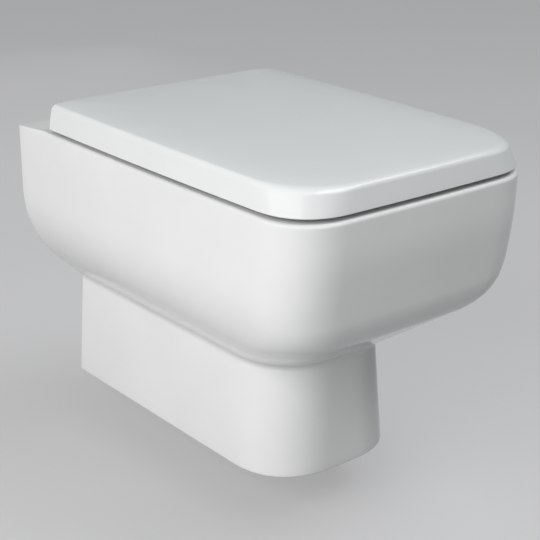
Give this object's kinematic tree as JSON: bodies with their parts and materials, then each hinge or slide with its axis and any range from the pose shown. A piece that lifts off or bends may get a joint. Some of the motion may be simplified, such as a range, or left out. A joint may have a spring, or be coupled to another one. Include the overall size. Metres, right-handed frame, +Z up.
{
  "type": "wall hung toilet",
  "caption": "Wall hung ceramic toilet with a squared bowl, a tapered foot under the belly, a wrap-over soft-close lid and a seat ring.",
  "frame": {"origin": "on the wall plane, midway between the two wall bolts", "axes": "+Y into the wall, +Z up, +X to the right when facing the wall; the front faces -Y"},
  "size_m": [0.34, 0.5559, 0.3797],
  "materials": {
    "glaze": "white gloss glaze",
    "seat_gloss": "white gloss moulding",
    "lid_gloss": "white gloss moulding",
    "buffer_rubber": "pale grey soft rubber",
    "black_rubber": "black seal rubber",
    "hinge_steel": "satin stainless steel",
    "bolt_steel": "plain stainless steel",
    "stud_zinc": "zinc plated steel",
    "nylon": "natural nylon",
    "damper_plastic": "pale grey acetal"
  },
  "bodies": {
    "pan": {"ceramic_pan": "glaze", "left_hinge_plate": "hinge_steel", "right_hinge_plate": "hinge_steel", "left_hinge_post": "hinge_steel", "right_hinge_post": "hinge_steel", "plate_gaskets": "black_rubber", "hinge_bolts": "bolt_steel", "hinge_plugs": "black_rubber", "hinge_nuts": "nylon", "post_bushes": "nylon", "seat_damper_rotor": "bolt_steel", "lid_damper_rotor": "bolt_steel", "wall_studs": "stud_zinc", "stud_sleeves": "nylon", "stud_washers": "stud_zinc", "stud_nuts": "stud_zinc", "inlet_seal": "black_rubber", "outlet_seal": "black_rubber"},
    "seat": {"seat_ring": "seat_gloss", "seat_buffers": "buffer_rubber", "seat_damper_body": "damper_plastic", "seat_damper_cap": "damper_plastic", "seat_pin": "bolt_steel"},
    "lid": {"lid": "lid_gloss", "lid_buffers": "buffer_rubber", "lid_damper_body": "damper_plastic", "lid_damper_cap": "damper_plastic", "lid_pin": "bolt_steel"}
  },
  "joints": [
    {"name": "lid_hinge", "type": "hinge", "parent": "pan", "child": "lid", "pos_m": [0, -0.083, 0.098], "axis": [-1, 0, 0], "range_deg": [0, 96]},
    {"name": "seat_hinge", "type": "hinge", "parent": "pan", "child": "seat", "pos_m": [0, -0.083, 0.098], "axis": [-1, 0, 0], "range_deg": [0, 93.2]}
  ],
  "couplings": [
    {"joint": "seat_hinge", "follows": "lid_hinge", "ratio": 0.97}
  ]
}
